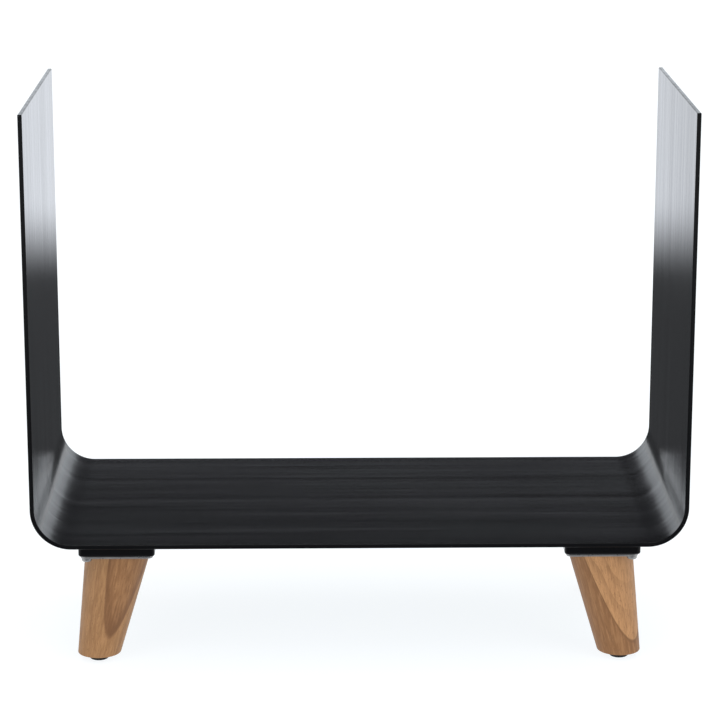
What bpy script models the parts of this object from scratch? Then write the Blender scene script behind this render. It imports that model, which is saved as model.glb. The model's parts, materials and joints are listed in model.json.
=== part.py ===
"""Firewood log rack: one bent sheet-steel cradle standing on four splayed wooden legs.

Run with: blender --background --python part.py
Metres, +Z up. The front is at -Y, the width runs along X, and the origin is on the
floor under the middle of the rack. Each leg carries a plastic glide nailed under it and
hangs on a stud from a nut and a zinc plate. Two screws at opposite corners hold each
plate to a steel spacer, which is welded under the tray.
"""

import math

import bmesh
import bpy
from mathutils import Matrix, Vector

# Driving dimensions of the cradle
WIDTH = 0.600  # over the outer faces of the two walls
DEPTH = 0.280  # front edge to back edge of the sheet
CRADLE_HEIGHT = 0.400  # underside of the tray to the top of the walls
SHEET = 0.004  # thickness of the sheet
BEND_RADIUS = 0.037  # outer face of each bend

# Driving dimensions of a foot
FOOT_X = 0.223  # middle of a foot's spacer, left or right of the middle
SPACER_SETBACK = 0.009  # sheet's front or back edge to the spacer's edge
SPACER_SIZE = 0.070
SPACER_THICKNESS = 0.010
SPACER_CORNER = 0.004
PLATE_SIZE = 0.066
PLATE_THICKNESS = 0.002
PLATE_CORNER = 0.005
LEG_HEIGHT = 0.1013  # between its two level cuts
LEG_TOP_OFFSET = 0.001  # axis at the top cut, outboard of the foot's middle
LEG_SPLAY = math.radians(11)  # lean of the leg's axis, outwards along X only
LEG_TOP_RADIUS = 0.030
LEG_BOTTOM_RADIUS = 0.0197
LEG_BOTTOM_ROUND = 0.0008
GLIDE_RADIUS = 0.009
GLIDE_HEIGHT = 0.0062

# Fasteners
SCREW_SPREAD = 0.0275  # a screw's distance from the foot's middle, along X and along Y
SCREW_RADIUS = 0.0025
SCREW_LENGTH = 0.010  # below its head
SCREW_HOLE_SPARE = 0.001  # depth of a screw's blind hole past its tip
SCREW_HEAD_RADIUS = 0.00475
SCREW_HEAD_HEIGHT = 0.0034
STUD_RADIUS = 0.004
STUD_DEPTH = 0.040  # how far it runs into the leg
NUT_ACROSS_FLATS = 0.013
NUT_HEIGHT = 0.0065
NUT_POCKET_RADIUS = 0.010
NAIL_RADIUS = 0.001
NAIL_HEAD_RADIUS = 0.003
NAIL_HEAD_HEIGHT = 0.0006
NAIL_DEPTH = 0.015  # how far it runs into the leg

GAP = 0.0003  # clearance between neighbouring pieces
DRILL_OVERRUN = 0.004  # how far a drill passes the last face it cuts

# Smoothness of the round shapes
BEND_STEPS = 12
CORNER_STEPS = 3
LEG_SIDES = 32
GLIDE_SIDES = 24
HARDWARE_SIDES = 12
SHARP_ANGLE = math.radians(35)

# Heights above the floor
LEG_BOTTOM_Z = GLIDE_HEIGHT + GAP
LEG_TOP_Z = LEG_BOTTOM_Z + LEG_HEIGHT
PLATE_Z = LEG_TOP_Z + GAP
PLATE_TOP_Z = PLATE_Z + PLATE_THICKNESS
SPACER_Z = PLATE_TOP_Z + GAP
TRAY_Z = SPACER_Z + SPACER_THICKNESS + GAP
WALL_TOP_Z = TRAY_Z + CRADLE_HEIGHT
SCREW_SEAT_Z = PLATE_Z - GAP
SCREW_TIP_Z = SCREW_SEAT_Z + SCREW_LENGTH

# Places in plan
FOOT_Y = DEPTH / 2 - SPACER_SETBACK - SPACER_SIZE / 2
FEET = {
    "front_left": (-FOOT_X, -FOOT_Y),
    "front_right": (FOOT_X, -FOOT_Y),
    "back_left": (-FOOT_X, FOOT_Y),
    "back_right": (FOOT_X, FOOT_Y),
}


def clear_scene():
    """Removes whatever the file holds before the model is made."""
    for old in list(bpy.data.objects):
        bpy.data.objects.remove(old, do_unlink=True)


def make_material(name, colour, roughness, metallic):
    """A plain Principled material."""
    material = bpy.data.materials.new(name)
    material.use_nodes = True
    shader = material.node_tree.nodes["Principled BSDF"]
    shader.inputs["Base Color"].default_value = (*colour, 1.0)
    shader.inputs["Roughness"].default_value = roughness
    shader.inputs["Metallic"].default_value = metallic
    material.diffuse_color = (*colour, 1.0)
    return material


def make_mesh(name, bm, material):
    """Turns a bmesh into a mesh with outward faces, smooth across gentle edges."""
    bmesh.ops.recalc_face_normals(bm, faces=bm.faces)
    mesh = bpy.data.meshes.new(name)
    bm.to_mesh(mesh)
    bm.free()
    mesh.shade_smooth()
    mesh.set_sharp_from_angle(angle=SHARP_ANGLE)
    if material is not None:
        mesh.materials.append(material)
    return mesh


def place(name, mesh, location=(0, 0, 0), parent=None):
    """Adds one object to the scene, at a location in its parent's frame."""
    piece = bpy.data.objects.new(name, mesh)
    piece.location = location
    piece.parent = parent
    bpy.context.scene.collection.objects.link(piece)
    return piece


def drill(piece, cutter):
    """Cuts the cutter's shape out of a piece."""
    cut = piece.modifiers.new(cutter.name, "BOOLEAN")
    cut.operation = "DIFFERENCE"
    cut.solver = "EXACT"
    cut.object = cutter


def add_turned(bm, profile, sides, centre=(0, 0)):
    """Adds a solid of revolution. Its profile is (radius, height) pairs, axis to axis."""
    rings = []
    for radius, height in profile:
        count = sides if radius > 0 else 1
        ring = []
        for step in range(count):
            angle = 2 * math.pi * step / sides
            x = centre[0] + radius * math.cos(angle)
            y = centre[1] + radius * math.sin(angle)
            ring.append(bm.verts.new((x, y, height)))
        rings.append(ring)
    for lower, upper in zip(rings, rings[1:]):
        for step in range(sides):
            after = (step + 1) % sides
            corners = [
                lower[step % len(lower)],
                lower[after % len(lower)],
                upper[after % len(upper)],
                upper[step % len(upper)],
            ]
            bm.faces.new(list(dict.fromkeys(corners)))


def turned_mesh(name, profile, sides, material):
    """A mesh of one solid of revolution."""
    bm = bmesh.new()
    add_turned(bm, profile, sides)
    return make_mesh(name, bm, material)


def make_drill(name, radius, bottom, top, centres):
    """A hidden cutter: one upright cylinder at each centre."""
    profile = ((0, bottom), (radius, bottom), (radius, top), (0, top))
    bm = bmesh.new()
    for centre in centres:
        add_turned(bm, profile, HARDWARE_SIDES, centre)
    cutter = place(name, make_mesh(name, bm, None))
    cutter.display_type = "WIRE"
    cutter.hide_render = True
    return cutter


def plate_mesh(name, size, corner, thickness, material):
    """A square plate with rounded corners, standing on its own z = 0."""
    reach = size / 2 - corner
    outline = []
    for quarter in range(4):
        middle = math.radians(45 + 90 * quarter)
        centre_x = math.copysign(reach, math.cos(middle))
        centre_y = math.copysign(reach, math.sin(middle))
        for step in range(CORNER_STEPS + 1):
            angle = math.pi / 2 * (quarter + step / CORNER_STEPS)
            x = centre_x + corner * math.cos(angle)
            y = centre_y + corner * math.sin(angle)
            outline.append((x, y))
    bm = bmesh.new()
    base = bm.faces.new([bm.verts.new((x, y, 0)) for x, y in outline])
    lifted = bmesh.ops.extrude_face_region(bm, geom=[base])
    moving = [item for item in lifted["geom"] if isinstance(item, bmesh.types.BMVert)]
    bmesh.ops.translate(bm, vec=(0, 0, thickness), verts=moving)
    return make_mesh(name, bm, material)


def cradle_path():
    """Points along the sheet's outer face, each with the direction to its inner face."""
    reach = WIDTH / 2 - BEND_RADIUS
    bend_z = TRAY_Z + BEND_RADIUS
    path = [((-WIDTH / 2, WALL_TOP_Z), (1, 0))]
    for side, start in ((-1, math.pi), (1, 1.5 * math.pi)):
        for step in range(BEND_STEPS + 1):
            angle = start + math.pi / 2 * step / BEND_STEPS
            out_x = math.cos(angle)
            out_z = math.sin(angle)
            point = (side * reach + BEND_RADIUS * out_x, bend_z + BEND_RADIUS * out_z)
            path.append((point, (-out_x, -out_z)))
    path.append(((WIDTH / 2, WALL_TOP_Z), (-1, 0)))
    return path


def make_cradle(material):
    """The U-shaped sheet: two walls, two bends and the tray between them."""
    bm = bmesh.new()
    sections = []
    for (x, z), (in_x, in_z) in cradle_path():
        inner_x = x + SHEET * in_x
        inner_z = z + SHEET * in_z
        corners = (
            (x, -DEPTH / 2, z),
            (inner_x, -DEPTH / 2, inner_z),
            (inner_x, DEPTH / 2, inner_z),
            (x, DEPTH / 2, z),
        )
        sections.append([bm.verts.new(corner) for corner in corners])
    for near, far in zip(sections, sections[1:]):
        for side in range(4):
            after = (side + 1) % 4
            bm.faces.new((near[side], near[after], far[after], far[side]))
    bm.faces.new(sections[0])
    bm.faces.new(sections[-1])
    place("cradle", make_mesh("cradle", bm, material))


def leg_mesh(material):
    """A cone turned about a leaning axis and sawn level at both ends.

    Its foot's middle is at x = y = 0 and the floor is at z = 0. It leans towards -X.
    """
    run = LEG_HEIGHT * math.tan(LEG_SPLAY)
    top = Vector((-LEG_TOP_OFFSET, 0, LEG_TOP_Z))
    bottom = Vector((-LEG_TOP_OFFSET - run, 0, LEG_BOTTOM_Z))
    axis = top - bottom
    spare = LEG_TOP_RADIUS  # the blank's extra length at each end
    taper = (LEG_TOP_RADIUS - LEG_BOTTOM_RADIUS) / axis.length
    lean = Vector((0, 0, 1)).rotation_difference(axis).to_matrix().to_4x4()
    bm = bmesh.new()
    bmesh.ops.create_cone(
        bm,
        cap_ends=True,
        segments=LEG_SIDES,
        radius1=LEG_BOTTOM_RADIUS - taper * spare,
        radius2=LEG_TOP_RADIUS + taper * spare,
        depth=axis.length + 2 * spare,
        matrix=Matrix.Translation((top + bottom) / 2) @ lean,
    )
    for cut_z, outwards in ((LEG_TOP_Z, 1), (LEG_BOTTOM_Z, -1)):
        sawn = bmesh.ops.bisect_plane(
            bm,
            geom=bm.verts[:] + bm.edges[:] + bm.faces[:],
            plane_co=(0, 0, cut_z),
            plane_no=(0, 0, outwards),
            clear_outer=True,
        )
        rim = [item for item in sawn["geom_cut"] if isinstance(item, bmesh.types.BMEdge)]
        bmesh.ops.edgeloop_fill(bm, edges=rim)
    bmesh.ops.bevel(bm, geom=rim, offset=LEG_BOTTOM_ROUND, segments=2, affect="EDGES")
    return make_mesh("leg", bm, material)


def glide_mesh(material):
    """A plastic button with a flat sole and a recess for its nail's head."""
    sole = GLIDE_RADIUS * 0.78
    shoulder = GLIDE_HEIGHT * 0.3
    recess = NAIL_HEAD_RADIUS + GAP
    recess_z = GLIDE_HEIGHT - NAIL_HEAD_HEIGHT - GAP
    profile = (
        (0, 0),
        (sole, 0),
        (GLIDE_RADIUS * 0.94, shoulder * 0.4),
        (GLIDE_RADIUS, shoulder),
        (GLIDE_RADIUS, GLIDE_HEIGHT),
        (recess, GLIDE_HEIGHT),
        (recess, recess_z),
        (0, recess_z),
    )
    return turned_mesh("glide", profile, GLIDE_SIDES, material)


def nail_mesh(material):
    """The nail that holds a glide to its leg."""
    head_z = GLIDE_HEIGHT - NAIL_HEAD_HEIGHT
    tip_z = LEG_BOTTOM_Z + NAIL_DEPTH
    profile = (
        (0, head_z),
        (NAIL_HEAD_RADIUS, head_z),
        (NAIL_HEAD_RADIUS, GLIDE_HEIGHT),
        (NAIL_RADIUS, GLIDE_HEIGHT),
        (NAIL_RADIUS, tip_z - 2 * NAIL_RADIUS),
        (0, tip_z),
    )
    return turned_mesh("glide_nail", profile, HARDWARE_SIDES, material)


def stud_mesh(material):
    """The headless bolt that joins a leg to the nut above its plate."""
    low = LEG_TOP_Z - STUD_DEPTH
    high = PLATE_TOP_Z + GAP + NUT_HEIGHT
    chamfer = STUD_RADIUS * 0.2
    profile = (
        (0, low),
        (STUD_RADIUS - chamfer, low),
        (STUD_RADIUS, low + chamfer),
        (STUD_RADIUS, high - chamfer),
        (STUD_RADIUS - chamfer, high),
        (0, high),
    )
    return turned_mesh("leg_stud", profile, HARDWARE_SIDES, material)


def nut_mesh(material):
    """The hexagonal nut on the plate's upper side."""
    radius = NUT_ACROSS_FLATS / 2 / math.cos(math.pi / 6)
    bottom = PLATE_TOP_Z + GAP
    top = bottom + NUT_HEIGHT
    profile = ((0, bottom), (radius, bottom), (radius, top), (0, top))
    return turned_mesh("plate_nut", profile, 6, material)


def screw_mesh(material):
    """A pan-head screw driven upwards through the plate into the spacer."""
    head_z = SCREW_SEAT_Z - SCREW_HEAD_HEIGHT
    crown = SCREW_HEAD_HEIGHT * 0.45
    profile = (
        (0, head_z),
        (SCREW_HEAD_RADIUS * 0.68, head_z),
        (SCREW_HEAD_RADIUS, head_z + crown),
        (SCREW_HEAD_RADIUS, SCREW_SEAT_Z),
        (SCREW_RADIUS, SCREW_SEAT_Z),
        (SCREW_RADIUS, SCREW_TIP_Z),
        (0, SCREW_TIP_Z),
    )
    return turned_mesh("plate_screw", profile, HARDWARE_SIDES, material)


def screw_offsets(x, y):
    """From a foot's middle to its screws: in its corner nearest the rack's, and opposite."""
    across = math.copysign(SCREW_SPREAD, x)
    along = math.copysign(SCREW_SPREAD, y)
    return [(across, along), (-across, -along)]


def screw_centres():
    """Every screw's place in plan."""
    return [
        (x + across, y + along)
        for x, y in FEET.values()
        for across, along in screw_offsets(x, y)
    ]


def make_feet(materials):
    """The four feet, each on an empty at its middle, turned so that its leg splays."""
    steel = materials["zinc"]
    spacer = plate_mesh(
        "spacer", SPACER_SIZE, SPACER_CORNER, SPACER_THICKNESS, materials["black"]
    )
    plate = plate_mesh("leg_plate", PLATE_SIZE, PLATE_CORNER, PLATE_THICKNESS, steel)
    leg = leg_mesh(materials["wood"])
    glide = glide_mesh(materials["plastic"])
    nail = nail_mesh(steel)
    stud = stud_mesh(steel)
    nut = nut_mesh(steel)
    screw = screw_mesh(steel)
    centres = list(FEET.values())
    screw_drill = make_drill(
        "screw_drill",
        SCREW_RADIUS + GAP,
        PLATE_Z - DRILL_OVERRUN,
        SCREW_TIP_Z + SCREW_HOLE_SPARE,
        screw_centres(),
    )
    stud_drill = make_drill(
        "stud_drill",
        STUD_RADIUS + GAP,
        LEG_TOP_Z - STUD_DEPTH - GAP,
        PLATE_TOP_Z + NUT_HEIGHT + DRILL_OVERRUN,
        centres,
    )
    pocket_drill = make_drill(
        "pocket_drill",
        NUT_POCKET_RADIUS,
        SPACER_Z - DRILL_OVERRUN,
        SPACER_Z + SPACER_THICKNESS + DRILL_OVERRUN,
        centres,
    )
    nail_x = LEG_TOP_OFFSET + LEG_HEIGHT * math.tan(LEG_SPLAY)
    nail_drill = make_drill(
        "nail_drill",
        NAIL_RADIUS + GAP,
        LEG_BOTTOM_Z - DRILL_OVERRUN,
        LEG_BOTTOM_Z + NAIL_DEPTH + GAP,
        [(x + math.copysign(nail_x, x), y) for x, y in centres],
    )
    for foot_name, (x, y) in FEET.items():
        foot = place(f"foot_{foot_name}", None, (x, y, 0))
        foot.rotation_euler.z = math.pi if x > 0 else 0
        spacer_piece = place(f"spacer_{foot_name}", spacer, (0, 0, SPACER_Z), foot)
        drill(spacer_piece, screw_drill)
        drill(spacer_piece, pocket_drill)
        plate_piece = place(f"leg_plate_{foot_name}", plate, (0, 0, PLATE_Z), foot)
        drill(plate_piece, screw_drill)
        drill(plate_piece, stud_drill)
        nut_piece = place(f"plate_nut_{foot_name}", nut, (0, 0, 0), foot)
        drill(nut_piece, stud_drill)
        place(f"leg_stud_{foot_name}", stud, (0, 0, 0), foot)
        leg_piece = place(f"leg_{foot_name}", leg, (0, 0, 0), foot)
        drill(leg_piece, stud_drill)
        drill(leg_piece, nail_drill)
        place(f"glide_{foot_name}", glide, (-nail_x, 0, 0), foot)
        place(f"glide_nail_{foot_name}", nail, (-nail_x, 0, 0), foot)
        turned = -1 if x > 0 else 1
        for number, (across, along) in enumerate(screw_offsets(x, y), start=1):
            screw_name = f"plate_screw_{foot_name}_{number}"
            place(screw_name, screw, (turned * across, turned * along, 0), foot)


def main():
    clear_scene()
    materials = {
        "black": make_material("black_powder_coat", (0.012, 0.012, 0.014), 0.38, 0.0),
        "zinc": make_material("zinc_plate", (0.62, 0.63, 0.64), 0.35, 1.0),
        "wood": make_material("beech", (0.42, 0.235, 0.12), 0.55, 0.0),
        "plastic": make_material("black_plastic", (0.015, 0.015, 0.015), 0.5, 0.0),
    }
    make_cradle(materials["black"])
    make_feet(materials)


main()
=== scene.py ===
"""Looks of the firewood log rack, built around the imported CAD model.

Every detailed piece here stands for one CAD node, in the same place and of the same size,
with the edge rounding, threads, recesses and weld fillets that the CAD leaves out. Metres,
+Z up, the front at -Y.
"""

import json
import math

import bmesh
import bpy
from mathutils import Matrix, Vector

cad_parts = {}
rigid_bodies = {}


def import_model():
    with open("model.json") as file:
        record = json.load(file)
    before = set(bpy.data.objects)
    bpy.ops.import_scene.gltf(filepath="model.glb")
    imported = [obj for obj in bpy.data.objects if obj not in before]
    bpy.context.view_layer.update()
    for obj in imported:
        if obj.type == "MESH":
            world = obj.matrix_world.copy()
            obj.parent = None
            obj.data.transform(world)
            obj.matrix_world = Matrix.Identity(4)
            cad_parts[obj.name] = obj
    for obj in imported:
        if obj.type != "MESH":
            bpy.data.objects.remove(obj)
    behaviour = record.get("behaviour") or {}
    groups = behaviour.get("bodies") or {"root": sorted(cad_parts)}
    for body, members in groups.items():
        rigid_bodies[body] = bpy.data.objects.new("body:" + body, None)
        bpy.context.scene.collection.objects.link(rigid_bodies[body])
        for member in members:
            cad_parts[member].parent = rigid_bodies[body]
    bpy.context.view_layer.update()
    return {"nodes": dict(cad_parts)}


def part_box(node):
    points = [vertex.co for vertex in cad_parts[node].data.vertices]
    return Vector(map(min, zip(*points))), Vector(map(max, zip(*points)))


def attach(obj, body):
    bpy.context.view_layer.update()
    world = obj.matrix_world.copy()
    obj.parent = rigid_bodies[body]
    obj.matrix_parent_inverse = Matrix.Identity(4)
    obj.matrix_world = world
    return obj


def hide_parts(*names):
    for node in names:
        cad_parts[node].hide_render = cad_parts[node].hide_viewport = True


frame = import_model()

# The cradle, beyond what its box says
SHEET = 0.004
BEND_RADIUS = 0.037
BEND_STEPS = 40
COAT_ROUND = 0.0007  # rounding of the coated sheet's edges

# The feet, beyond what their boxes say
SPACER_CORNER = 0.004
SPACER_ROUND = 0.0018
WELD_SIZE = 0.0018  # painted weld fillet where a spacer meets the tray
PLATE_CORNER = 0.005
PLATE_ROUND = 0.0004
LEG_TOP_OFFSET = 0.001  # axis at the top cut, outboard of the foot's middle
LEG_TOP_RADIUS = 0.030
LEG_BOTTOM_RADIUS = 0.0197
LEG_TOP_ROUND = 0.0005
LEG_BOTTOM_ROUND = 0.0008

# Fasteners
SCREW_SPREAD = 0.0275
SCREW_RADIUS = 0.0025
SCREW_PITCH = 0.0008
SCREW_THREAD_DEPTH = 0.00045
SCREW_HOLE_RADIUS = 0.0028
SCREW_HOLE_SPARE = 0.001  # depth of a screw's blind hole past its tip
STUD_RADIUS = 0.004
STUD_PITCH = 0.00125
STUD_WOOD_PITCH = 0.003
STUD_THREAD_DEPTH = 0.0007
STUD_WOOD_THREAD_DEPTH = 0.0009
STUD_HOLE_RADIUS = 0.0043
NUT_POCKET_RADIUS = 0.010
NAIL_RADIUS = 0.001
NAIL_HOLE_RADIUS = 0.0013
NAIL_HEAD_RADIUS = 0.003
NAIL_HEAD_HEIGHT = 0.0006
NAIL_GROOVES = 12
HOLE_MOUTH = 0.0003  # chamfer at the mouth of a hole
FINE_MOUTH = 0.0002  # the same in thin plate and at a nail's hole
DRILL_OVERRUN = 0.002  # how far a drill passes the face where it breaks through
GAP = 0.0003  # clearance between neighbouring pieces

# Smoothness
ROUND_STEPS = 3
CORNER_STEPS = 8
LEG_SIDES = 96
HARDWARE_SIDES = 32
NUT_SIDES = 72
THREAD_ROWS = 6  # rings of points to one turn of a thread
SAME_POINT = 1e-7  # points closer than this are one
SHARP_ANGLE = math.radians(32)

FEET = ("front_left", "front_right", "back_left", "back_right")

# A foot's two screws lie on one of its diagonals, by its own axes. The diagonals of
# neighbouring feet mirror each other.
DIAGONALS = {
    sense: [
        (-SCREW_SPREAD, -SCREW_SPREAD * sense, 0),
        (SCREW_SPREAD, SCREW_SPREAD * sense, 0),
    ]
    for sense in (-1, 1)
}


# ------------------------------------------------------------- mesh building


def loft(name, rings):
    """A closed mesh through rings of points. A ring of one point is a pole."""
    bm = bmesh.new()
    rows = [[bm.verts.new(point) for point in ring] for ring in rings]
    for low, high in zip(rows, rows[1:]):
        for step in range(max(len(low), len(high))):
            after = step + 1
            corners = (
                low[step % len(low)],
                low[after % len(low)],
                high[after % len(high)],
                high[step % len(high)],
            )
            bm.faces.new(list(dict.fromkeys(corners)))
    for row in (rows[0], rows[-1]):
        if len(row) > 2:
            bm.faces.new(row)
    bmesh.ops.remove_doubles(bm, verts=bm.verts, dist=SAME_POINT)
    bmesh.ops.recalc_face_normals(bm, faces=bm.faces)
    mesh = bpy.data.meshes.new(name)
    bm.to_mesh(mesh)
    bm.free()
    return mesh


def polar_ring(height, radius, sides=HARDWARE_SIDES):
    """A level ring about the Z axis. Its radius is a number or a function of the angle."""
    if radius == 0:
        return [(0, 0, height)]
    ring = []
    for step in range(sides):
        angle = 2 * math.pi * step / sides
        reach = radius(angle) if callable(radius) else radius
        ring.append((reach * math.cos(angle), reach * math.sin(angle), height))
    return ring


def turned(name, profile, sides=HARDWARE_SIDES):
    """A solid of revolution from (radius, height) pairs, bottom to top."""
    return loft(name, [polar_ring(height, radius, sides) for radius, height in profile])


def quarter_round(radius):
    """(inset, rise) pairs from a flat end, round to its upright side."""
    angles = [math.pi / 2 * step / ROUND_STEPS for step in range(ROUND_STEPS + 1)]
    return [(radius * (1 - math.sin(a)), radius * (1 - math.cos(a))) for a in angles]


def rounded_ends(bottom, top, low_round, high_round):
    """(inset, height) pairs up a solid whose bottom and top edges are rounded."""
    low = [(inset, bottom + rise) for inset, rise in quarter_round(low_round)]
    high = [(inset, top - rise) for inset, rise in reversed(quarter_round(high_round))]
    return low + high


def rounded_outline(half_x, half_y, corner, inset, steps):
    """Points round a rectangle with rounded corners, drawn in by an inset."""
    outline = []
    for quarter in range(4):
        middle = math.radians(45 + 90 * quarter)
        centre_x = math.copysign(half_x - corner, math.cos(middle))
        centre_y = math.copysign(half_y - corner, math.sin(middle))
        for step in range(steps + 1):
            angle = math.pi / 2 * (quarter + step / steps)
            x = centre_x + (corner - inset) * math.cos(angle)
            y = centre_y + (corner - inset) * math.sin(angle)
            outline.append((x, y))
    return outline


def slab(name, half_size, corner, bottom, top, edge_round):
    """A square plate with rounded corners and rounded upper and lower edges."""
    rings = []
    for inset, height in rounded_ends(bottom, top, edge_round, edge_round):
        outline = rounded_outline(half_size, half_size, corner, inset, CORNER_STEPS)
        rings.append([(x, y, height) for x, y in outline])
    return loft(name, rings)


def thread_rings(bottom, top, radius, pitch, depth):
    """Rings up a right-hand thread, which fades out over the last turn at each end."""
    rows = round((top - bottom) / pitch * THREAD_ROWS)
    rings = []
    for row in range(rows + 1):
        height = bottom + (top - bottom) * row / rows
        fade = min(1, (height - bottom) / pitch, (top - height) / pitch)

        def reach(angle, height=height, fade=fade):
            phase = (height / pitch - angle / (2 * math.pi)) % 1
            return radius - depth * (1 - fade * (1 - abs(2 * phase - 1)))

        rings.append(polar_ring(height, reach))
    return rings


def carved(mesh, *cuts):
    """The mesh with each cutter, at each of its places, cut out of it."""
    linked = bpy.context.scene.collection.objects
    body = bpy.data.objects.new("carved_body", mesh)
    linked.link(body)
    used = [body]
    for cutter, places in cuts:
        for place in places:
            tool = bpy.data.objects.new("cutter", cutter)
            tool.location = place
            linked.link(tool)
            used.append(tool)
            cut = body.modifiers.new("cut", "BOOLEAN")
            cut.operation = "DIFFERENCE"
            cut.solver = "EXACT"
            cut.object = tool
    graph = bpy.context.evaluated_depsgraph_get()
    result = bpy.data.meshes.new_from_object(body.evaluated_get(graph))
    result.name = mesh.name
    for tool in used:
        bpy.data.objects.remove(tool)
    return result


def drill_bit(radius, bottom, top, low_mouth=None, high_mouth=None):
    """A round cutter. Where it breaks through a face it widens by that end's mouth."""
    low = [(0, bottom), (radius, bottom)]
    high = [(radius, top), (0, top)]
    if low_mouth is not None:
        wide = radius + low_mouth + DRILL_OVERRUN
        start = bottom - DRILL_OVERRUN
        low = [(0, start), (wide, start), (radius, bottom + low_mouth)]
    if high_mouth is not None:
        wide = radius + high_mouth + DRILL_OVERRUN
        end = top + DRILL_OVERRUN
        high = [(radius, top - high_mouth), (wide, end), (0, end)]
    return turned("bit", low + high)


def add_piece(name, mesh, material, node, place=(0, 0, 0), turn=0.0):
    """Adds a detailed piece that stands for one CAD node."""
    mesh.shade_smooth()
    mesh.set_sharp_from_angle(angle=SHARP_ANGLE)
    piece = bpy.data.objects.new(name, mesh)
    piece.location = place
    piece.rotation_euler.z = turn
    bpy.context.scene.collection.objects.link(piece)
    if not mesh.materials:
        mesh.materials.append(None)
    piece.material_slots[0].link = "OBJECT"
    piece.material_slots[0].material = material
    even = piece.modifiers.new("even_shading", "WEIGHTED_NORMAL")
    even.keep_sharp = True
    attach(piece, "root")
    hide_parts(node)
    return piece


# ---------------------------------------------------------------- the pieces


def cradle_mesh():
    """The bent sheet: one thin section with rounded edges, swept along the U."""
    low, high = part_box("cradle")
    reach = high.x - BEND_RADIUS
    bend_z = low.z + BEND_RADIUS
    end = quarter_round(COAT_ROUND)
    stations = [(inset, -high.x, high.z - rise, 1, 0) for inset, rise in end]
    for side, start in ((-1, math.pi), (1, 1.5 * math.pi)):
        for step in range(BEND_STEPS + 1):
            angle = start + math.pi / 2 * step / BEND_STEPS
            out_x = math.cos(angle)
            out_z = math.sin(angle)
            x = side * reach + BEND_RADIUS * out_x
            z = bend_z + BEND_RADIUS * out_z
            stations.append((0, x, z, -out_x, -out_z))
    stations += [(inset, high.x, high.z - rise, -1, 0) for inset, rise in reversed(end)]
    rings = []
    for inset, x, z, in_x, in_z in stations:
        section = rounded_outline(SHEET / 2, high.y, COAT_ROUND, inset, ROUND_STEPS)
        ring = []
        for across, y in section:
            depth = SHEET / 2 + across
            ring.append((x + in_x * depth, y, z + in_z * depth))
        rings.append(ring)
    return loft("cradle_sheet", rings)


def weld_curve():
    """(inset, drop) pairs up the hollow face of a weld fillet."""
    angles = [math.pi / 2 * step / 4 for step in range(5)]
    return [(WELD_SIZE * math.cos(a), WELD_SIZE * (1 - math.sin(a))) for a in angles]


def spacer_mesh(low, high, screw_tip, screw_places):
    """The block between the tray and a leg plate, with the weld round its upper edge."""
    half = (high.x - low.x) / 2
    steps = [(inset, low.z + rise) for inset, rise in quarter_round(SPACER_ROUND)]
    steps += [(-WELD_SIZE + spare, high.z - rise) for spare, rise in weld_curve()]
    rings = []
    for inset, height in steps:
        outline = rounded_outline(half, half, SPACER_CORNER, inset, CORNER_STEPS)
        rings.append([(x, y, height) for x, y in outline])
    hole_top = screw_tip + SCREW_HOLE_SPARE
    screw_bit = drill_bit(SCREW_HOLE_RADIUS, low.z, hole_top, low_mouth=HOLE_MOUTH)
    pocket_bit = drill_bit(NUT_POCKET_RADIUS, low.z, high.z, HOLE_MOUTH, 0.0)
    block = loft("spacer", rings)
    return carved(block, (screw_bit, screw_places), (pocket_bit, [(0, 0, 0)]))


def leg_plate_mesh(low, high, screw_places):
    """The zinc-plated plate that a leg hangs from."""
    half = (high.x - low.x) / 2
    plate = slab("leg_plate", half, PLATE_CORNER, low.z, high.z, PLATE_ROUND)
    screw_bit = drill_bit(SCREW_HOLE_RADIUS, low.z, high.z, FINE_MOUTH, FINE_MOUTH)
    stud_bit = drill_bit(STUD_HOLE_RADIUS, low.z, high.z, FINE_MOUTH, FINE_MOUTH)
    return carved(plate, (screw_bit, screw_places), (stud_bit, [(0, 0, 0)]))


def leg_mesh(low, high, bottom_x, stud_low, nail_high):
    """A cone turned about a leaning axis, sawn level, its edges eased."""
    foot_end = Vector((bottom_x, 0, low.z))
    head_end = Vector((-LEG_TOP_OFFSET, 0, high.z))
    axis = (head_end - foot_end).normalized()
    taper = (LEG_TOP_RADIUS - LEG_BOTTOM_RADIUS) / (head_end - foot_end).length
    across = axis.cross(Vector((0, 1, 0))).normalized()
    along = Vector((0, 1, 0))
    rings = []
    for inset, height in rounded_ends(low.z, high.z, LEG_BOTTOM_ROUND, LEG_TOP_ROUND):
        middle = foot_end + axis * ((height - low.z) / axis.z)
        ring = []
        for step in range(LEG_SIDES):
            angle = 2 * math.pi * step / LEG_SIDES
            out = across * math.cos(angle) + along * math.sin(angle)
            run = (height - low.z - LEG_BOTTOM_RADIUS * out.z) / (axis.z + taper * out.z)
            point = foot_end + axis * run + out * (LEG_BOTTOM_RADIUS + taper * run)
            ring.append(point - (point - middle).normalized() * inset)
        rings.append(ring)
    stud_bit = drill_bit(STUD_HOLE_RADIUS, stud_low - GAP, high.z, high_mouth=HOLE_MOUTH)
    nail_bit = drill_bit(NAIL_HOLE_RADIUS, low.z, nail_high + GAP, low_mouth=FINE_MOUTH)
    return carved(
        loft("leg", rings), (stud_bit, [(0, 0, 0)]), (nail_bit, [(bottom_x, 0, 0)])
    )


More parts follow.
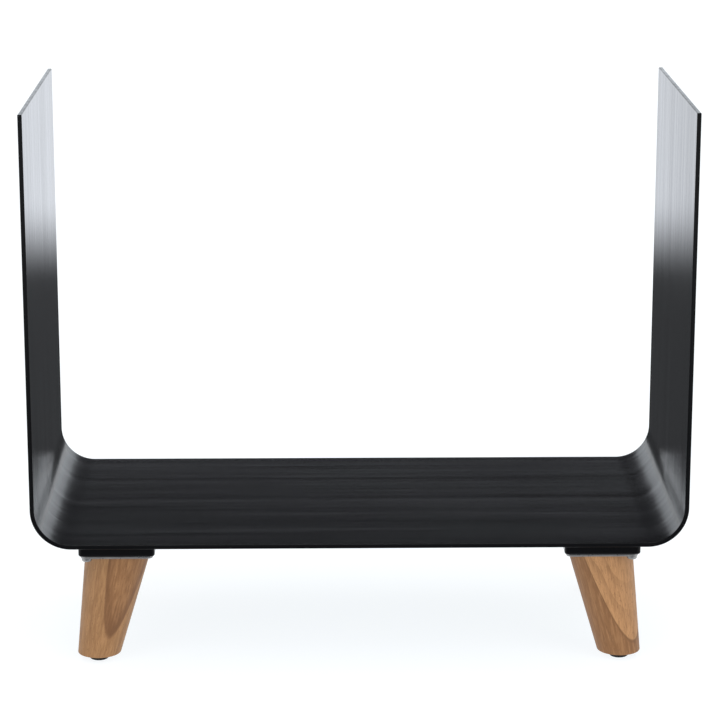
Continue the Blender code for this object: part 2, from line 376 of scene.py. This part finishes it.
def glide_mesh(low, high):
    """A moulded button: flat sole, rounded rim, and a recess for its nail's head."""
    radius = (high.x - low.x) / 2
    height = high.z - low.z
    sole = radius * 0.80
    rim_z = height * 0.28
    profile = [(0, 0), (sole, 0)]
    for step in range(1, 9):
        angle = math.pi / 2 * step / 8
        x = sole + (radius - sole) * math.sin(angle)
        profile.append((x, rim_z * (1 - math.cos(angle))))
    recess = NAIL_HEAD_RADIUS + GAP
    recess_z = height - NAIL_HEAD_HEIGHT - GAP
    profile += [
        (radius, height - 0.0003),
        (radius - 0.0003, height),
        (recess, height),
        (recess, recess_z),
        (0, recess_z),
    ]
    return turned("glide", profile, 2 * HARDWARE_SIDES)


def nail_mesh(low, high):
    """The glide's nail, with rings on its shank that grip the wood."""
    head_z = low.z + NAIL_HEAD_HEIGHT
    profile = [(0, low.z), (NAIL_HEAD_RADIUS, low.z), (NAIL_HEAD_RADIUS, head_z)]
    profile.append((NAIL_RADIUS, head_z))
    tip_z = high.z - 2 * NAIL_RADIUS
    for groove in range(NAIL_GROOVES):
        start = head_z + (tip_z - head_z) * (0.2 + 0.75 * groove / NAIL_GROOVES)
        profile.append((NAIL_RADIUS, start))
        profile.append((NAIL_RADIUS * 0.86, start + 0.0001))
    profile += [(NAIL_RADIUS, tip_z), (0, high.z)]
    return turned("glide_nail", profile, HARDWARE_SIDES // 2)


def stud_mesh(low, high, leg_top):
    """A hanger bolt: a coarse wood thread below, a machine thread above."""
    rings = [polar_ring(low.z, 0), polar_ring(low.z, STUD_RADIUS * 0.5)]
    rings += thread_rings(
        low.z + 0.0015, leg_top - 0.004, STUD_RADIUS, STUD_WOOD_PITCH, STUD_WOOD_THREAD_DEPTH
    )
    rings += thread_rings(
        leg_top - 0.0005, high.z - 0.0006, STUD_RADIUS, STUD_PITCH, STUD_THREAD_DEPTH
    )
    rings += [polar_ring(high.z, STUD_RADIUS * 0.75), polar_ring(high.z, 0)]
    return loft("leg_stud", rings)


def nut_mesh(low, high):
    """A hexagonal nut, its corners turned down by a 30 degree chamfer at both ends."""
    flat = (high.y - low.y) / 2
    corner = flat / math.cos(math.pi / 6)
    face = flat * 0.95
    chamfer = (corner - face) * math.tan(math.pi / 6)
    rises = [chamfer * step / 4 for step in range(5)]
    rings = []
    for height, rise in [(low.z + rise, rise) for rise in rises] + [
        (high.z - rise, rise) for rise in reversed(rises)
    ]:
        limit = face + (corner - face) * rise / chamfer

        def reach(angle, limit=limit):
            off_flat = angle % (math.pi / 3) - math.pi / 6
            return min(limit, flat / math.cos(off_flat))

        rings.append(polar_ring(height, reach, NUT_SIDES))
    bit = drill_bit(STUD_HOLE_RADIUS, low.z, high.z, HOLE_MOUTH, HOLE_MOUTH)
    return carved(loft("plate_nut", rings), (bit, [(0, 0, 0)]))


def cross_recess(head_z):
    """A cutter for a cross recess, narrowing as it goes up into a screw's head."""

    def cross(height, reach, width):
        ring = []
        for quarter in range(4):
            turn = Matrix.Rotation(math.pi / 2 * quarter, 3, "Z")
            for x, y in ((reach, -width), (reach, width), (width, width)):
                ring.append(turn @ Vector((x, y, height)))
        return ring

    rings = [
        cross(head_z - 0.0005, 0.0030, 0.00062),
        cross(head_z + 0.0019, 0.0012, 0.00035),
    ]
    return loft("recess", rings)


def screw_mesh(low, high):
    """A pan-head machine screw, head down, with a thread up to its tip."""
    head_radius = (high.x - low.x) / 2
    seat_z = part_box("leg_plate_front_left")[0].z - GAP
    head = [(head_radius * 0.60, low.z)]
    crown = (seat_z - low.z) * 0.55
    for step in range(1, 7):
        angle = math.pi / 2 * step / 6
        x = head_radius * (0.60 + 0.40 * math.sin(angle))
        head.append((x, low.z + crown * (1 - math.cos(angle))))
    head += [(head_radius, seat_z - 0.0002), (head_radius - 0.0002, seat_z)]
    head.append((SCREW_RADIUS, seat_z))
    rings = [polar_ring(height, radius) for radius, height in head]
    rings += thread_rings(
        seat_z + 0.0006, high.z - 0.0004, SCREW_RADIUS, SCREW_PITCH, SCREW_THREAD_DEPTH
    )
    rings += [polar_ring(high.z, SCREW_RADIUS * 0.72), polar_ring(high.z, 0)]
    return carved(loft("plate_screw", rings), (cross_recess(low.z), [(0, 0, 0)]))


# ------------------------------------------------------------- the materials


def add_node(tree, kind, inputs=None, **settings):
    """Adds a shader node. Its inputs are numbers, colours or other nodes' outputs."""
    made = tree.nodes.new("ShaderNode" + kind)
    for name, value in settings.items():
        setattr(made, name, value)
    for socket, value in (inputs or {}).items():
        if isinstance(value, bpy.types.NodeSocket):
            tree.links.new(value, made.inputs[socket])
        else:
            made.inputs[socket].default_value = value
    return made


def new_material(name, **fixed):
    """A Principled material: its tree, its shader and its object coordinates."""
    material = bpy.data.materials.new(name)
    material.use_nodes = True
    tree = material.node_tree
    shader = tree.nodes["Principled BSDF"]
    for socket, value in fixed.items():
        shader.inputs[socket.replace("_", " ")].default_value = value
    place = add_node(tree, "TexCoord").outputs["Object"]
    return material, tree, shader, place


def maths(tree, operation, *values):
    """One Math node's result."""
    inputs = dict(enumerate(values))
    return add_node(tree, "Math", inputs, operation=operation).outputs[0]


def stretched(tree, place, scale):
    """The place with each axis scaled."""
    inputs = {"Vector": place, "Scale": scale}
    return add_node(tree, "Mapping", inputs).outputs["Vector"]


def noise(tree, place, scale, detail=2.0, roughness=0.5):
    """A noise value between 0 and 1."""
    inputs = {"Vector": place, "Scale": scale, "Detail": detail, "Roughness": roughness}
    return add_node(tree, "TexNoise", inputs).outputs["Fac"]


def spread(tree, value, low, high, out_low=0.0, out_high=1.0, smooth=False):
    """Maps a value from one range to another, clamped."""
    inputs = {"Value": value, "From Min": low, "From Max": high}
    inputs["To Min"] = out_low
    inputs["To Max"] = out_high
    kind = "SMOOTHSTEP" if smooth else "LINEAR"
    made = add_node(tree, "MapRange", inputs, interpolation_type=kind)
    return made.outputs["Result"]


def mix(tree, factor, first, second, kind="MIX"):
    """Two colours mixed."""
    made = add_node(tree, "Mix", data_type="RGBA", blend_type=kind)
    for socket, value in (("Factor", factor), ("A", first), ("B", second)):
        target = next(s for s in made.inputs if s.name == socket and s.enabled)
        if isinstance(value, bpy.types.NodeSocket):
            tree.links.new(value, target)
        else:
            target.default_value = value
    return next(s for s in made.outputs if s.enabled)


def bump(tree, height, depth, under=None):
    """A surface normal from a height, as deep as depth metres."""
    inputs = {"Height": height, "Distance": depth, "Strength": 1.0}
    if under is not None:
        inputs["Normal"] = under
    return add_node(tree, "Bump", inputs).outputs["Normal"]


def rgb(red, green, blue):
    """An opaque linear colour."""
    return (red, green, blue, 1.0)


def powder_coat():
    """Satin black powder coat: fine orange peel, and faint streaks along the sheet."""
    material, tree, shader, place = new_material(
        "powder_coat", IOR=1.15, Coat_Weight=1.0, Coat_IOR=1.12, Coat_Roughness=0.16
    )
    cloud = noise(tree, place, 8.0, 3.0)
    speckle = noise(tree, place, 1400.0, 2.0)
    streak = noise(tree, stretched(tree, place, (1.2, 34.0, 1.2)), 1.0, 5.0, 0.6)
    peel = noise(tree, place, 650.0, 2.0, 0.4)
    speckled = spread(tree, speckle, 0.35, 0.75)
    colour = mix(tree, speckled, rgb(0.0025, 0.0026, 0.0030), rgb(0.0050, 0.0051, 0.0060))
    tree.links.new(colour, shader.inputs["Base Color"])
    rough = maths(
        tree, "ADD", spread(tree, cloud, 0.3, 0.7, 0.13, 0.16),
        spread(tree, streak, 0.3, 0.7, 0.0, 0.10),
    )
    tree.links.new(rough, shader.inputs["Roughness"])
    normal = bump(tree, peel, 0.000012)
    normal = bump(tree, streak, 0.0004, normal)
    tree.links.new(normal, shader.inputs["Normal"])
    tree.links.new(normal, shader.inputs["Coat Normal"])
    return material


def zinc():
    """Bright zinc plate with a fine grain and cloudy passivation."""
    material, tree, shader, place = new_material("zinc", Metallic=1.0)
    cloud = noise(tree, place, 160.0, 4.0)
    grain = noise(tree, stretched(tree, place, (400.0, 4000.0, 4000.0)), 1.0, 2.0)
    colour = mix(tree, cloud, rgb(0.27, 0.27, 0.28), rgb(0.40, 0.39, 0.37))
    tree.links.new(colour, shader.inputs["Base Color"])
    rough = spread(tree, cloud, 0.3, 0.7, 0.24, 0.40)
    tree.links.new(rough, shader.inputs["Roughness"])
    tree.links.new(bump(tree, grain, 0.00001), shader.inputs["Normal"])
    return material


def moulded_plastic():
    """Matt black moulded plastic with a fine spark-eroded texture."""
    material, tree, shader, place = new_material("moulded_plastic", IOR=1.25)
    grain = noise(tree, place, 2200.0, 3.0)
    colour = mix(tree, grain, rgb(0.007, 0.007, 0.007), rgb(0.014, 0.013, 0.012))
    tree.links.new(colour, shader.inputs["Base Color"])
    tree.links.new(spread(tree, grain, 0.3, 0.7, 0.42, 0.58), shader.inputs["Roughness"])
    tree.links.new(bump(tree, grain, 0.00002), shader.inputs["Normal"])
    return material


PALE_WOOD = rgb(0.540, 0.278, 0.118)
WARM_WOOD = rgb(0.370, 0.190, 0.076)
BROWN_WOOD = rgb(0.265, 0.120, 0.043)
LATE_WOOD = rgb(0.160, 0.064, 0.021)
FLECK_WOOD = rgb(0.135, 0.058, 0.022)

# How each leg was cut from its plank: the way its growth layers face (degrees from the
# front of the rack towards its right), how that turns along the leg (degrees a metre),
# how the layers climb, the distance from the leg's axis to the border between two
# tones, the tones on its two sides, and how far the dark line at the border fades,
# outwards if positive.
LEG_GRAINS = (
    ("front_left", 13.6, 187, 0.008, 0.0223, WARM_WOOD, BROWN_WOOD, 0.0042),
    ("front_right", 46.4, -3, 0.173, 0.0227, BROWN_WOOD, PALE_WOOD, -0.0012),
    ("back_left", 200, -60, 0.10, 0.0240, PALE_WOOD, WARM_WOOD, 0.0040),
    ("back_right", 150, 90, 0.05, 0.0205, WARM_WOOD, BROWN_WOOD, 0.0050),
)


def beech(name, foot_end, lean, facing, twist, tilt, border, inner, outer, fade):
    """Lightly oiled beech for one leg, in coordinates that run along the leg's axis."""
    material, tree, shader, place = new_material(name)
    shader.inputs["IOR"].default_value = 1.4
    upright = Matrix.Rotation(-lean, 3, "Y")
    inputs = {"Vector": place, "Rotation": (0, -lean, 0), "Location": -(upright @ foot_end)}
    along = add_node(tree, "Mapping", inputs).outputs["Vector"]
    height = add_node(tree, "SeparateXYZ", {"Vector": along}).outputs[2]
    turn = maths(tree, "MULTIPLY", height, -twist)
    inputs = {"Vector": along, "Angle": turn}
    grain = add_node(tree, "VectorRotate", inputs, rotation_type="Z_AXIS").outputs[0]

    inputs = {0: grain, 1: (facing.x, facing.y, tilt)}
    layer = add_node(tree, "VectorMath", inputs, operation="DOT_PRODUCT").outputs["Value"]
    sway = noise(tree, stretched(tree, grain, (40.0, 40.0, 14.0)), 1.0, 2.0)
    sway = spread(tree, sway, 0.0, 1.0, -0.0005, 0.0005)
    layer = maths(tree, "SUBTRACT", maths(tree, "ADD", layer, sway), border)

    spacing = 0.0078
    uneven = noise(tree, stretched(tree, grain, (70.0, 70.0, 5.0)), 1.0, 1.0)
    years = maths(tree, "MULTIPLY", layer, -math.copysign(1 / spacing, fade))
    years = maths(tree, "ADD", years, spread(tree, uneven, 0.0, 1.0, -0.45, 0.45))
    year = maths(tree, "FRACT", years)
    late = maths(
        tree, "MULTIPLY", spread(tree, year, 0.25, 0.95, smooth=True),
        spread(tree, year, 1.0, 0.95),
    )
    patchy = noise(tree, stretched(tree, grain, (50.0, 50.0, 9.0)), 1.0, 2.0)
    late = maths(tree, "MULTIPLY", late, spread(tree, patchy, 0.35, 0.7, 0.06, 0.42))

    fibre = noise(tree, stretched(tree, along, (1100.0, 1100.0, 26.0)), 1.0, 3.0, 0.6)
    streak = noise(tree, stretched(tree, along, (480.0, 480.0, 24.0)), 1.0, 3.0, 0.6)
    fleck = noise(tree, stretched(tree, along, (1300.0, 1300.0, 300.0)), 1.0, 1.0)
    flecks = spread(tree, fleck, 0.64, 0.74)

    side = spread(tree, layer, -0.0005, 0.0005, smooth=True)
    colour = mix(tree, side, inner, outer)
    colour = mix(tree, late, colour, LATE_WOOD)
    colour = mix(tree, spread(tree, streak, 0.42, 0.68, 0.0, 0.46), colour, PALE_WOOD)
    colour = mix(tree, spread(tree, streak, 0.50, 0.30, 0.0, 0.45), colour, BROWN_WOOD)
    colour = mix(tree, spread(tree, fibre, 0.42, 0.72, 0.0, 0.50), colour, BROWN_WOOD)
    past = maths(tree, "MULTIPLY", layer, math.copysign(1, fade))
    edge = maths(
        tree, "MULTIPLY", spread(tree, past, -0.0004, 0.0002),
        spread(tree, past, 0.0, abs(fade), 0.62, 0.0, True),
    )
    colour = mix(tree, edge, colour, LATE_WOOD)
    colour = mix(tree, maths(tree, "MULTIPLY", flecks, 0.5), colour, FLECK_WOOD)
    tree.links.new(colour, shader.inputs["Base Color"])
    tree.links.new(spread(tree, fibre, 0.3, 0.7, 0.44, 0.60), shader.inputs["Roughness"])
    relief = maths(tree, "SUBTRACT", maths(tree, "MULTIPLY", fibre, 0.7), flecks)
    tree.links.new(bump(tree, relief, 0.00005), shader.inputs["Normal"])
    return material


# ------------------------------------------------------------- the object


def leg_woods(foot_end, lean):
    """Each leg's own piece of beech, with its own run of the growth layers."""
    woods = {}
    for foot, facing, twist, tilt, border, inner, outer, fade in LEG_GRAINS:
        angle = math.radians(facing)
        direction = Vector((math.sin(angle), -math.cos(angle), 0))
        if foot.endswith("right"):
            direction.negate()
        woods[foot] = beech(
            "beech_" + foot, foot_end, lean, direction, math.radians(twist), tilt, border,
            inner, outer, fade,
        )
    return woods


def make_rack():
    """Builds every detailed piece from its CAD node's box."""
    coat = powder_coat()
    plated = zinc()
    plastic = moulded_plastic()
    boxes = {name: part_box(name) for name in frame["nodes"]}
    centres = {}
    for foot in FEET:
        low, high = boxes["spacer_" + foot]
        centres[foot] = Vector(((low.x + high.x) / 2, (low.y + high.y) / 2, 0))
    add_piece("cradle_sheet", cradle_mesh(), coat, "cradle")

    # The template foot is the front left one: its boxes give heights and widths.
    template = "front_left"
    leg_low, leg_high = boxes["leg_" + template]
    stud_low, stud_high = boxes["leg_stud_" + template]
    nail_low, nail_high = boxes["glide_nail_" + template]
    glide_low, glide_high = boxes["glide_" + template]
    bottom_x = (glide_low.x + glide_high.x) / 2 - centres[template].x
    screw_low, screw_high = boxes[f"plate_screw_{template}_1"]
    spacers = {}
    plates = {}
    for sense, places in DIAGONALS.items():
        spacers[sense] = spacer_mesh(*boxes["spacer_" + template], screw_high.z, places)
        plates[sense] = leg_plate_mesh(*boxes["leg_plate_" + template], places)
    leg = leg_mesh(leg_low, leg_high, bottom_x, stud_low.z, nail_high.z)
    glide = glide_mesh(glide_low, glide_high)
    nail = nail_mesh(nail_low, nail_high)
    stud = stud_mesh(stud_low, stud_high, leg_high.z)
    nut = nut_mesh(*boxes["plate_nut_" + template])
    screw = screw_mesh(screw_low, screw_high)
    lean = math.atan2(-LEG_TOP_OFFSET - bottom_x, leg_high.z - leg_low.z)
    woods = leg_woods(Vector((bottom_x, 0, leg_low.z)), lean)

    for foot, centre in centres.items():
        turn = math.pi if centre.x > 0 else 0.0
        sense = 1 if centre.x * centre.y > 0 else -1
        end = centre + Matrix.Rotation(turn, 3, "Z") @ Vector((bottom_x, 0, 0))
        add_piece(
            "block_" + foot, spacers[sense], coat, "spacer_" + foot,
            centre, turn,
        )
        add_piece(
            "plate_" + foot, plates[sense], plated, "leg_plate_" + foot, centre, turn
        )
        add_piece("nut_" + foot, nut, plated, "plate_nut_" + foot, centre, turn)
        add_piece("stud_" + foot, stud, plated, "leg_stud_" + foot, centre, turn)
        add_piece(
            "turned_leg_" + foot, leg, woods[foot], "leg_" + foot, centre, turn
        )
        add_piece("button_" + foot, glide, plastic, "glide_" + foot, end, turn)
        add_piece("nail_" + foot, nail, plated, "glide_nail_" + foot, end, turn)
        for number, place in enumerate(DIAGONALS[sense], start=1):
            spot = Matrix.Rotation(turn, 3, "Z") @ Vector(place)
            add_piece(
                f"screw_{foot}_{number}", screw, plated, f"plate_screw_{foot}_{number}",
                centre + spot, turn + 0.7 * number,
            )


# ------------------------------------------------------------- the studio


# A painted reflection: only reflections see this patch on the floor. It stands in for the
# logs that the walls would mirror, as a painted dark reflection near the rack and bright
# further out.
# Distances are from the middle of the rack, from the start of each change to its end.
PATCH_SIDE = (0.35, 0.55)
PATCH_START = (0.15, 0.35)
PATCH_END = (1.5, 2.15)
PATCH_BEFORE = 0.34  # glow before the rack
PATCH_BEHIND = 0.06  # glow behind the rack
PATCH_BEYOND = 1.22  # glow past the patch's end
PATCH_TURN = 0.15  # from here at the front to here at the back, one glow becomes the other

CAMERA_PLACE = (-0.0363, -2.508, 0.905)
CAMERA_LENS = 136.4  # millimetres, on a sensor 36 mm wide
CAMERA_DOWN = math.radians(14.37)
CAMERA_RIGHT = math.radians(0.877)


def painted_reflection_place(tree, place):
    """1 where a reflection sees the painted reflection patch, before and behind the rack's
    opening.
    """
    split = add_node(tree, "SeparateXYZ", {"Vector": place}).outputs
    aside = spread(tree, maths(tree, "ABSOLUTE", split[0]), *PATCH_SIDE, 1.0, 0.0, True)
    clear = spread(tree, maths(tree, "ABSOLUTE", split[1]), *PATCH_START, 0.0, 1.0, True)
    reflected = add_node(tree, "LightPath").outputs["Is Glossy Ray"]
    return maths(tree, "MULTIPLY", reflected, maths(tree, "MULTIPLY", aside, clear))


def painted_reflection_glow(tree, place):
    """The painted reflection patch itself: darkest behind the rack, and bright past its end.
    """
    split = add_node(tree, "SeparateXYZ", {"Vector": place}).outputs
    near = spread(tree, split[1], -PATCH_TURN, PATCH_TURN, PATCH_BEFORE, PATCH_BEHIND)
    away = maths(tree, "ABSOLUTE", split[1])
    strength = spread(tree, away, *PATCH_END, near, PATCH_BEYOND, True)
    inputs = {"Color": rgb(0.92, 0.96, 1.03), "Strength": strength}
    return add_node(tree, "Emission", inputs).outputs[0]


def make_floor():
    """A wide pale floor that glows a little, like a light table, with a painted reflection
    patch that only reflections see. It is clear from below.
    """
    reach = 60.0
    corners = [(-reach, -reach, 0), (reach, -reach, 0), (reach, reach, 0), (-reach, reach, 0)]
    mesh = bpy.data.meshes.new("floor")
    mesh.from_pydata(corners, [], [(0, 1, 2, 3)])
    material, tree, shader, place = new_material("pale_floor", Roughness=0.9)
    shader.inputs["Base Color"].default_value = rgb(0.20, 0.20, 0.20)
    shader.inputs["Specular IOR Level"].default_value = 0.0
    shader.inputs["Emission Color"].default_value = rgb(0.94, 0.975, 1.0)
    shader.inputs["Emission Strength"].default_value = 0.93
    # painted reflection: for reflections only, the floor glows dark near the rack and bright
    # further out
    patch = painted_reflection_glow(tree, place)
    inputs = {0: painted_reflection_place(tree, place), 1: shader.outputs[0], 2: patch}
    above = add_node(tree, "MixShader", inputs)
    below = add_node(tree, "NewGeometry").outputs["Backfacing"]
    clear = add_node(tree, "BsdfTransparent").outputs[0]
    sides = add_node(tree, "MixShader", {0: below, 1: above.outputs[0], 2: clear})
    tree.links.new(sides.outputs[0], tree.nodes["Material Output"].inputs["Surface"])
    mesh.materials.append(material)
    floor = bpy.data.objects.new("floor", mesh)
    bpy.context.scene.collection.objects.link(floor)


def make_sun(name, azimuth, elevation, strength, softness):
    """A far, soft light. Azimuth 0 shines from the front, 90 from the right."""
    light = bpy.data.lights.new(name, "SUN")
    light.energy = strength
    light.angle = math.radians(softness)
    sun = bpy.data.objects.new(name, light)
    az = math.radians(azimuth)
    el = math.radians(elevation)
    source = Vector(
        (math.sin(az) * math.cos(el), -math.cos(az) * math.cos(el), math.sin(el))
    )
    sun.rotation_euler = source.to_track_quat("Z", "Y").to_euler()
    bpy.context.scene.collection.objects.link(sun)


def make_world():
    """A pale backdrop to the camera. To all else it is dark, with a bright rim and top."""
    world = bpy.data.worlds.new("studio")
    bpy.context.scene.world = world
    world.use_nodes = True
    tree = world.node_tree
    place = add_node(tree, "TexCoord").outputs["Generated"]
    height = add_node(tree, "SeparateXYZ", {"Vector": place}).outputs[2]
    rim = spread(tree, height, 0.175, 0.215, 1.0, 0.0, True)
    top = spread(tree, height, 0.65, 0.95, 0.0, 1.0, True)
    colour = mix(tree, rim, rgb(0.030, 0.032, 0.036), rgb(1.15, 1.22, 1.30))
    colour = mix(tree, top, colour, rgb(0.9, 0.9, 0.9))
    seen = add_node(tree, "LightPath").outputs["Is Camera Ray"]
    colour = mix(tree, seen, colour, rgb(0.93, 0.93, 0.93))
    tree.links.new(colour, tree.nodes["Background"].inputs["Color"])


def make_studio():
    """Soft light from above, from both sides of the front, and a little from behind."""
    make_floor()
    make_world()
    make_sun("overhead", 0, 88, 1.0, 70)
    make_sun("front_left", -38, 36, 0.55, 40)
    make_sun("front_right", 42, 36, 0.68, 40)
    make_sun("behind", 170, 58, 0.4, 30)


def make_camera():
    """A long lens in front of the rack, looking slightly down and slightly to the right."""
    camera = bpy.data.cameras.new("camera")
    camera.sensor_width = 36.0
    camera.lens = CAMERA_LENS
    camera.clip_end = 200.0
    eye = bpy.data.objects.new("camera", camera)
    eye.location = CAMERA_PLACE
    eye.rotation_euler = (math.pi / 2 - CAMERA_DOWN, 0, -CAMERA_RIGHT)
    bpy.context.scene.collection.objects.link(eye)
    bpy.context.scene.camera = eye


make_rack()
make_studio()
make_camera()
bpy.context.scene.view_settings.view_transform = "Standard"
